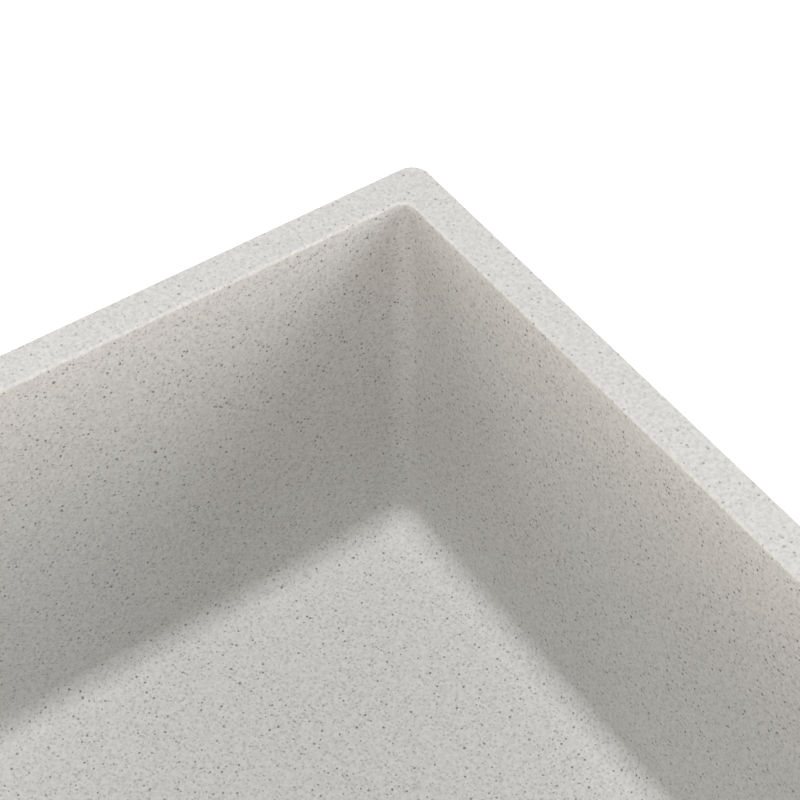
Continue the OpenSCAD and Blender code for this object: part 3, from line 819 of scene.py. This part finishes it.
def steps_between(r, z_from, z_to, step=0.25):
    """Points down a straight wall, close enough together to hold a thread."""
    count = max(1, round(abs(z_to - z_from) / step))
    return [(r, z_from + (z_to - z_from) * i / count) for i in range(count + 1)]

# %% [markdown]
# ## The strainer body
# The strainer is deep drawn from stainless sheet: a flange that laps over the floor, a dish that
# leads into the neck, a ledge for the basket and a cup down to the outlet. Its neck and its outlet
# are threaded for the two nuts. The thread's ridges run round as one helix, worked out point by
# point, and four bars with a ring in the middle guide the post.

# %% Turn the strainer body
FLANGE_R, LEDGE_R, CUP_R, NECK_R = 57, 41, 39, 42.5
OUTLET_BORE, OUTLET_R = 20, 23.8
LEDGE_Z, CUP_Z, OUTLET_TOP, OUTLET_END = -9, -56, -60.5, -74.5
neck_root, outlet_root = NECK_R - 0.8, OUTLET_R - 0.8

body_profile = [(FLANGE_R, -0.8, 0.7), (FLANGE_R - 0.8, 0, 0.9), (DRAIN_R, 0, 2.5)]
body_profile += [(LEDGE_R, -3, 1.2), (LEDGE_R, LEDGE_Z, 0.3), (CUP_R, LEDGE_Z, 0.4), (CUP_R, -54, 2.2)]
body_profile += [(CUP_R - 2, CUP_Z, 2.0), (OUTLET_BORE, CUP_Z, 0.8), (OUTLET_BORE, OUTLET_END, 0.3)]
body_profile += [(outlet_root, OUTLET_END), *steps_between(OUTLET_R, -74.4, -60.6)]
body_profile += [(outlet_root, OUTLET_TOP), (outlet_root, -58.5, 0.5), (CUP_R, -58.5, 1.0)]
body_profile += [(neck_root, -54, 0.6), (neck_root, -35.2), *steps_between(NECK_R, -35, -5)]
body_profile += [(NECK_R, -4), (44.5, -1.6), (FLANGE_R, -1.6, 0.3)]
body_profile = eased(body_profile)
neck_thread = thread_rule(-35.1, -4.9, NECK_R)
outlet_thread = thread_rule(OUTLET_END, OUTLET_TOP, OUTLET_R)


def both_threads(r, z, degrees):
    return outlet_thread(neck_thread(r, z, degrees), z, degrees)


strainer_mesh = turned("strainer_body_turned", body_profile, both_threads)
print("points in the body's profile:", len(body_profile))

# %% Four cross bars in the outlet, by a tree
recipe, sizes = started_tree(
    "cross_bars", Bars=4, Length=14.5 * MM, Width=3.0 * MM, Height=3.0 * MM, Inset=6.0 * MM
)
bar_size = recipe.vector(sizes["Length"], sizes["Width"], sizes["Height"])
wires = {"Size": bar_size, "Vertices X": 2, "Vertices Y": 2, "Vertices Z": 2}
bar = recipe.add("GeometryNodeMeshCube", wires).outputs[0]
middle = recipe.math("ADD", recipe.math("MULTIPLY", sizes["Length"], 0.5), sizes["Inset"])
bar = moved(recipe, bar, recipe.vector(x=middle))
spots = recipe.add("GeometryNodePoints", {"Count": sizes["Bars"]}).outputs[0]
index = recipe.add("GeometryNodeInputIndex").outputs[0]
turn = recipe.math("DIVIDE", recipe.math("MULTIPLY", index, math.tau), sizes["Bars"])
bars = set_on(recipe, spots, bar, z=turn)
bars_mesh = worked_out(recipe, bars, stainless, points_mesh("outlet_centre", [(0, 0, 0)]))

# %% Join the bars and their ring to the body
BEVEL_DEGREES = 30
BARS_Z = -62.5


def joined(name, *meshes):
    """One mesh out of several that belong to one piece."""
    shape = bmesh.new()
    for mesh in meshes:
        shape.from_mesh(mesh)
    whole = bpy.data.meshes.new(name)
    shape.to_mesh(whole)
    shape.free()
    return whole


def softened(mesh, width_mm):
    """Bevels every sharp edge of a mesh."""
    shape = bmesh.new()
    shape.from_mesh(mesh)
    bmesh.ops.remove_doubles(shape, verts=shape.verts, dist=SAME_PLACE)
    limit = math.radians(BEVEL_DEGREES)
    sharp = [edge for edge in shape.edges if edge.is_manifold and edge.calc_face_angle() > limit]
    how = {"segments": 2, "profile": 0.5, "affect": "EDGES", "clamp_overlap": True}
    bmesh.ops.bevel(shape, geom=sharp, offset=width_mm * MM, **how)
    shape.to_mesh(mesh)
    shape.free()


bars_mesh.transform(Matrix.Translation((0, 0, (DRAIN_Z + BARS_Z) * MM)))
softened(bars_mesh, 0.4)
hub = turned("outlet_hub", eased([(3.5, -61, 0.3), (6, -61, 0.4), (6, -64, 0.4), (3.5, -64, 0.3)]))
strainer_mesh = joined("drawn_strainer", strainer_mesh, bars_mesh, hub)
shown_piece("drawn_strainer", strainer_mesh, "root", ["strainer_body"], stainless)

# %% [markdown]
# ## Rings, nuts and the tailpiece under the floor
# From the floor down come a rubber ring, a fibre ring that lets the nut slide on it, the lugged
# locknut, and at the outlet a sealing washer, the coupling nut and the chromed tailpiece. The rubber
# rings are moulded, so their edges are soft. The nuts' hexagon and lugs are rules on the lathe.

# %% Turn the rings
def ring_profile(outer, inner, top, bottom, ease):
    return eased([(inner, top, ease), (outer, top, ease), (outer, bottom, ease), (inner, bottom, ease)])


for name, node, slot, material, sizes_mm in [
    # the five sizes are the outer radius, the bore, the top, the bottom and the easing
    ("moulded_flange_gasket", "flange_gasket", "rubber", rubber, (57, 45, -1.6, -3, 0.35)),
    ("moulded_body_gasket", "body_gasket", "rubber", rubber, (55, 42.6, -11, -14, 0.6)),
    ("pressed_friction_ring", "friction_ring", "fibre", fibre, (55, 42.6, -14, -15, 0.15)),
    ("moulded_outlet_washer", "outlet_washer", "rubber", rubber, (23, 17.85, -74.5, -76.5, 0.4)),
    ("stamped_stopper_washer", "stopper_washer", "stainless", stainless, (14, 3.05, -51, -52, 0.25)),
]:
    body = "stopper_post" if node == "stopper_washer" else "root"
    turned_piece(name, ring_profile(*sizes_mm), body, node, slot, material)

# %% Turn the locknut and its lugs
THREAD_BORE, NUT_R, LUG_R = 42.6, 51, 59
NUT_TOP, LUG_TOP, NUT_END = -15, -17.9, -27
# Angles from the middle of a lug, closer together where its sides drop to the nut
FROM_LUG = (0, 2.5, 5.0, 5.6, 6.2, 7.5, 10, 15, 20, 25, 30)
both_ways = (*FROM_LUG, *(-a for a in FROM_LUG))
LUG_ANGLES = sorted({(60 * lug + a) % 360 for lug in range(6) for a in both_ways})


def lug_rule(r, z, degrees):
    """Lets only six lugs reach past the nut's body."""
    if r <= NUT_R or z > LUG_TOP:
        return r
    off = abs((degrees + 30) % 60 - 30)
    reach = LUG_R if off < 5.1 else 57.5 if off < 5.7 else 51.3 if off < 6.3 else NUT_R
    return min(r, reach)


nut_profile = [(THREAD_BORE, NUT_TOP, 0.3), (55, NUT_TOP, 0.5), (55, LUG_TOP), (LUG_R, -18)]
nut_profile += [(LUG_R, NUT_END + 0.8, 0.8), (LUG_R - 1, NUT_END, 0.8), (50, NUT_END)]
nut_profile = eased([*nut_profile, (THREAD_BORE, NUT_END, 0.6)])
cast = ("root", "locknut", "zinc_casting", zinc_casting)
turned_piece("cast_locknut", nut_profile, *cast, lug_rule, LUG_ANGLES)

# %% Turn the coupling nut and the tailpiece
FLATS, COUPLING_BORE, LIP_BORE = 53.8, 23.9, 20.15
TAIL_BORE, TAIL_R, TAIL_LIP_R = 17.85, 19.05, 23
TAIL_TOP, LIP_Z, COUPLING_END, TAIL_END = -76.5, -78, -81, -174.5

cone = corner_cone(FLATS, 0.955, 2.6, 6)
coupling_profile = [(COUPLING_BORE, OUTLET_TOP, 0.4), *[(r, OUTLET_TOP - d) for r, d in cone]]
coupling_profile += [(r, COUPLING_END + d) for r, d in reversed(cone)]
coupling_profile += [(LIP_BORE, COUPLING_END, 0.5), (LIP_BORE, LIP_Z, 0.4), (COUPLING_BORE, LIP_Z, 0.3)]
plated = ("root", "coupling_nut", "chrome", chrome)
turned_piece("chromed_coupling_nut", eased(coupling_profile), *plated, hexagon_rule(FLATS, 24))

tail_profile = [(TAIL_BORE, TAIL_TOP, 0.4), (TAIL_LIP_R, TAIL_TOP, 0.4), (TAIL_LIP_R, LIP_Z, 0.4)]
tail_profile += [(TAIL_R, LIP_Z, 0.6), (TAIL_R, TAIL_END, 0.5), (TAIL_BORE, TAIL_END, 0.5)]
turned_piece("chromed_tailpiece", eased(tail_profile), "root", "tailpiece", "chrome", chrome)

# %% [markdown]
# ## The post, the knob and the stopper
# The post is turned from rod, with a collar that pushes on the stopper's washer and two grooves that
# the spring clip catches. The knob is a polished mushroom that fingers can lift. All of it rides on
# the body that lifts, so it moves as one.

# %% Turn the post and the knob
POST_R, POST_TOP, POST_END = 3, -6, -67
SNUG_R, KNOB_R = 3.05, 9

post_profile = [(0, POST_END), (2, POST_END, 0.3), (POST_R, POST_END + 1, 0.4), (POST_R, -51, 0.2)]
post_profile += [(6, -51, 0.35), (6, -48, 0.5), (POST_R, -48, 0.3)]
for z in (-46.3, -38.3):
    post_profile += [(POST_R, z - 0.6, 0.1), (2.7, z - 0.3, 0.1), (2.7, z + 0.3, 0.1), (POST_R, z + 0.6, 0.1)]
post_profile = eased([*post_profile, (POST_R, POST_TOP), (0, POST_TOP)])
turned_piece("turned_post", post_profile, "stopper_post", "post", "stainless", stainless)

rise = [math.radians(a) for a in range(0, 91, 9)]
dome = [(KNOB_R * math.cos(a), -5 + 3 * math.sin(a)) for a in rise]
knob_profile = [(0, POST_TOP), (SNUG_R, POST_TOP), (SNUG_R, -14, 0.3), (5, -14, 0.5), (5, -11, 2.5)]
knob_profile = eased([*knob_profile, (KNOB_R, -7, 0.8), (KNOB_R, -5.2)]) + dome
turned_piece("turned_knob", knob_profile, "stopper_post", "knob", "stainless", stainless)

# %% Turn the stopper and its nut
STOPPER_R, STOPPER_TOP, STOPPER_END = 27, -52, -56
NUT_FLATS, SMALL_NUT_END = 11, -60

stopper_profile = [(SNUG_R, STOPPER_END), (STOPPER_R - 1, STOPPER_END, 0.6)]
stopper_profile += [(STOPPER_R, STOPPER_END + 1, 0.6), (STOPPER_R, STOPPER_TOP - 1, 0.6)]
stopper_profile += [(25, STOPPER_TOP, 0.6), (15, STOPPER_TOP), (SNUG_R, STOPPER_TOP)]
turned_piece("moulded_stopper", eased(stopper_profile), "stopper_post", "stopper", "rubber", rubber)

cone = corner_cone(NUT_FLATS, 0.95, 0.6, 5)
nut_profile = [(SNUG_R, -56.3), (3.35, STOPPER_END), *[(r, STOPPER_END - d) for r, d in cone]]
nut_profile += [(r, SMALL_NUT_END + d) for r, d in reversed(cone)]
nut_profile += [(3.35, SMALL_NUT_END), (SNUG_R, -59.7)]
small_nut = ("stopper_post", "stopper_nut", "stainless", stainless)
turned_piece("stopper_nut_hexagon", nut_profile, *small_nut, hexagon_rule(NUT_FLATS, 3.4))

# %% [markdown]
# ## The basket
# The basket is pressed from one millimetre sheet and punched with round holes: two rows in its wall
# and three rings in its floor. Holes are what a tree is good at. It puts a short punch on every
# point of each ring, turned to face the sheet, and cuts them all out of the pressed form at once.

# %% Press the basket's form
BASKET_FLOOR = -38.0
BASKET_R, BASKET_BORE = 40.6, 4.55

basket_profile = [(BASKET_R, -9, 0.3), (36.5, -9, 0.5), (33, BASKET_FLOOR + 3, 1.2)]
basket_profile += [(30, BASKET_FLOOR, 1.2), (BASKET_BORE, BASKET_FLOOR), (BASKET_BORE, BASKET_FLOOR + 1)]
basket_profile += [(29.5, BASKET_FLOOR + 1, 1.0), (32, BASKET_FLOOR + 3.5, 1.0), (35.5, -8, 0.8)]
basket_profile = eased([*basket_profile, (BASKET_R, -8, 0.3)])
pressed = turned("pressed_basket", basket_profile)
tidied(pressed)
print("points in the basket's profile:", len(basket_profile))

# %% Punch its holes with a tree
HOLE_R, HOLE_PITCH = 1.75, 7
WALL_HOLES, WALL_HOLES_R, ROW_STEP = 24, 34.5, 29 / 4
# Each row is a radius, a height, a number of holes and the tilt of its punches in degrees
rows = [(WALL_HOLES_R, BASKET_FLOOR + step * ROW_STEP, WALL_HOLES, 90.0) for step in (2, 3)]
for r in (11.75, 18.75, 25.75):
    rows.append((r, BASKET_FLOOR + 0.5, math.floor(math.tau * r / HOLE_PITCH), 0.0))

recipe, sizes = started_tree(
    "punched_basket", Hole_Radius=HOLE_R * MM, Punch_Length=7.0 * MM, Punch_Sides=16
)
punch = rod(recipe, sizes["Punch_Sides"], sizes["Hole_Radius"], sizes["Punch_Length"])
index = recipe.add("GeometryNodeInputIndex").outputs[0]
rings = []
for row, (radius, z, count, tilt) in enumerate(rows):
    spots = recipe.add("GeometryNodePoints", {"Count": count}).outputs[0]
    shift = 0.5 * (row + 1) if tilt else 0.0
    turn = recipe.math("MULTIPLY", recipe.math("ADD", index, shift), math.tau / count)
    x = recipe.math("MULTIPLY", recipe.math("COSINE", turn), radius * MM)
    y = recipe.math("MULTIPLY", recipe.math("SINE", turn), radius * MM)
    spot = recipe.vector(x, y, (z + DRAIN_Z) * MM)
    spots = recipe.add("GeometryNodeSetPosition", {"Geometry": spots, "Position": spot}).outputs[0]
    rings.append(set_on(recipe, spots, punch, y=math.radians(tilt), z=turn))
cutters = recipe.add("GeometryNodeRealizeInstances", {0: gathered(recipe, *rings)}).outputs[0]
punched = worked_out(recipe, cut_out(recipe, sizes["Geometry"], cutters), stainless, pressed)
shown_piece("punched_basket", punched, "basket", ["basket_cup"], stainless)

# %% Turn the bush in the basket's floor
bush_profile = [(3.1, -38), (4.5, -38), (4.5, -37), (7, -37, 0.3), (7, -35, 0.8), (3.1, -35, 0.4)]
turned_piece("moulded_bush", eased(bush_profile), "basket", "basket_bush", "nylon", nylon)

# %% [markdown]
# ## Inserts, bolts and washers round the rim
# Eight brass inserts sit in the rim's underside, and eight bolts with washers hold the straps to
# them. One tree makes the bolt, a hexagon whose corners are cut by a cone as on a real head, and
# another sweeps a ring's section round a circle. Both put their shape on the same eight points.

# %% A tree for the bolts
BOLT_Z, WASHER_Z, INSERT_Z, STRAP_Z = -22.1, -18.1, -9.5, -17.3

recipe, sizes = started_tree(
    "rim_bolts", Flats=8.0 * MM, Head=3.5 * MM, Shank_Radius=2.5 * MM, Shank=12.1 * MM
)
corner_r = recipe.math("MULTIPLY", sizes["Flats"], 0.5 / math.cos(math.radians(30)))
half_up = recipe.vector(z=recipe.math("MULTIPLY", sizes["Head"], 0.5))
head = moved(recipe, rod(recipe, 6, corner_r, sizes["Head"]), half_up)
tip_r = recipe.math("MULTIPLY", sizes["Flats"], 0.47)
wide_r = recipe.math("ADD", tip_r, recipe.math("MULTIPLY", sizes["Head"], 2.2))
cone_height = recipe.math("MULTIPLY", sizes["Head"], 1.2)
wires = {"Vertices": 48, "Radius Bottom": tip_r, "Radius Top": wide_r, "Depth": cone_height}
cone = recipe.add("GeometryNodeMeshCone", wires).outputs[0]
both = recipe.add("GeometryNodeMeshBoolean", {"Mesh 2": head}, operation="INTERSECT", solver="EXACT")
recipe.tree.links.new(cone, both.inputs["Mesh 2"])
shank_middle = recipe.math("ADD", recipe.math("MULTIPLY", sizes["Shank"], 0.5), sizes["Head"])
shank = rod(recipe, 24, sizes["Shank_Radius"], sizes["Shank"])
shank = moved(recipe, shank, recipe.vector(z=shank_middle))
bolts = set_on(recipe, sizes["Geometry"], gathered(recipe, both.outputs[0], shank))
bolts_mesh = worked_out(recipe, bolts, zinc_plate, points_mesh("bolt_places", eight_places(BOLT_Z)))
shown_piece("rim_bolts", bolts_mesh, "root", ["clip_bolts"], zinc_plate)


# %% Rings on the same eight places
def rings_on(name, z, outer, inner, thickness, material):
    """A ring of rectangular section with eased edges on each of the eight places, by a tree."""
    recipe, sizes = started_tree(
        name, Outer=outer * MM, Bore=inner * MM, Thickness=thickness * MM, Edge=0.2 * MM
    )
    middle_r = recipe.math("MULTIPLY", recipe.math("ADD", sizes["Outer"], sizes["Bore"]), 0.5)
    wall = recipe.math("SUBTRACT", sizes["Outer"], sizes["Bore"])
    wires = {"Width": wall, "Height": sizes["Thickness"]}
    section = recipe.add("GeometryNodeCurvePrimitiveQuadrilateral", wires).outputs[0]
    wires = {"Curve": section, "Count": 2, "Radius": sizes["Edge"]}
    section = recipe.add("GeometryNodeFilletCurve", wires, mode="POLY").outputs[0]
    wires = {"Curve": circle(recipe, 48, middle_r), "Profile Curve": section}
    ring = recipe.add("GeometryNodeCurveToMesh", wires).outputs[0]
    rings = set_on(recipe, sizes["Geometry"], ring)
    return worked_out(recipe, rings, material, points_mesh(name + "_places", eight_places(z)))


washers_mesh = rings_on("rim_washers", WASHER_Z, 5.0, 2.55, 1.0, zinc_plate)
shown_piece("rim_washers", washers_mesh, "root", ["clip_washers"], zinc_plate)
inserts_mesh = rings_on("rim_inserts_turned", INSERT_Z, 3.55, 2.55, 9.0, brass)
shown_piece("rim_inserts_turned", inserts_mesh, "root", ["rim_inserts"], brass)

# %% [markdown]
# ## The eight straps
# Each strap is punched from 3 mm steel, 11 mm wide, with one hole for its bolt and one for the
# worktop's stud. A filled outline with two holes gives the blank, which is pulled to its thickness and
# bevelled a little, since punching rounds the edges. Every strap is a copy on its own body.

# %% Punch one strap
recipe, sizes = started_tree(
    "punched_strap", Reach=REACH * MM, Half_Width=5.5 * MM, Thickness=3.0 * MM,
    Pivot_Hole=2.8 * MM, Stud_Hole=3.5 * MM,
)
pivot_hole = circle(recipe, 40, sizes["Pivot_Hole"])
stud_hole = moved(recipe, circle(recipe, 40, sizes["Stud_Hole"]), recipe.vector(x=sizes["Reach"]))
here = recipe.add("GeometryNodeInputPosition").outputs[0]
across = recipe.add("ShaderNodeSeparateXYZ", {0: here}).outputs[0]
far = recipe.math("GREATER_THAN", across, 0.0)
push = recipe.vector(x=recipe.math("MULTIPLY", far, sizes["Reach"]))
wires = {"Geometry": circle(recipe, 48, sizes["Half_Width"]), "Offset": push}
outline = recipe.add("GeometryNodeSetPosition", wires).outputs[0]
outlines = gathered(recipe, pivot_hole, stud_hole, outline)
blank = recipe.add("GeometryNodeFillCurve", {0: outlines}, mode="TRIANGLES").outputs[0]
wires = {"Mesh": blank, "Offset": (0, 0, 1), "Offset Scale": sizes["Thickness"], "Individual": False}
pulled = recipe.add("GeometryNodeExtrudeMesh", wires).outputs[0]
under = recipe.add("GeometryNodeFlipFaces", {0: blank}).outputs[0]
wires = {0: gathered(recipe, pulled, under), "Distance": 1e-6}
strap = recipe.add("GeometryNodeMergeByDistance", wires).outputs[0]
strap_mesh = worked_out(recipe, strap, strap_steel_x, points_mesh("strap_start", [(0, 0, 0)]))
softened(strap_mesh, 0.35)

# %% Hang eight straps
for name, (x, y, degrees, body) in CLIPS.items():
    place = Matrix.Translation((x * MM, y * MM, STRAP_Z * MM))
    mesh = strap_mesh.copy()
    mesh.transform(place @ Matrix.Rotation(math.radians(degrees), 4, "Z"))
    steel = strap_steel_y if degrees == 90 else strap_steel_x
    shown_piece(name.replace("clip", "strap"), mesh, body, [name], steel)

# %% [markdown]
# ## The spring clip
# The star clip under the basket's floor is so thin that its solid already has the right shape. It
# keeps that shape and gets the finish of spring steel.

# %% Dress the spring clip
for slot in bpy.data.objects["post_clip"].material_slots:
    slot.material = spring_steel
print("post_clip: dressed as it is")
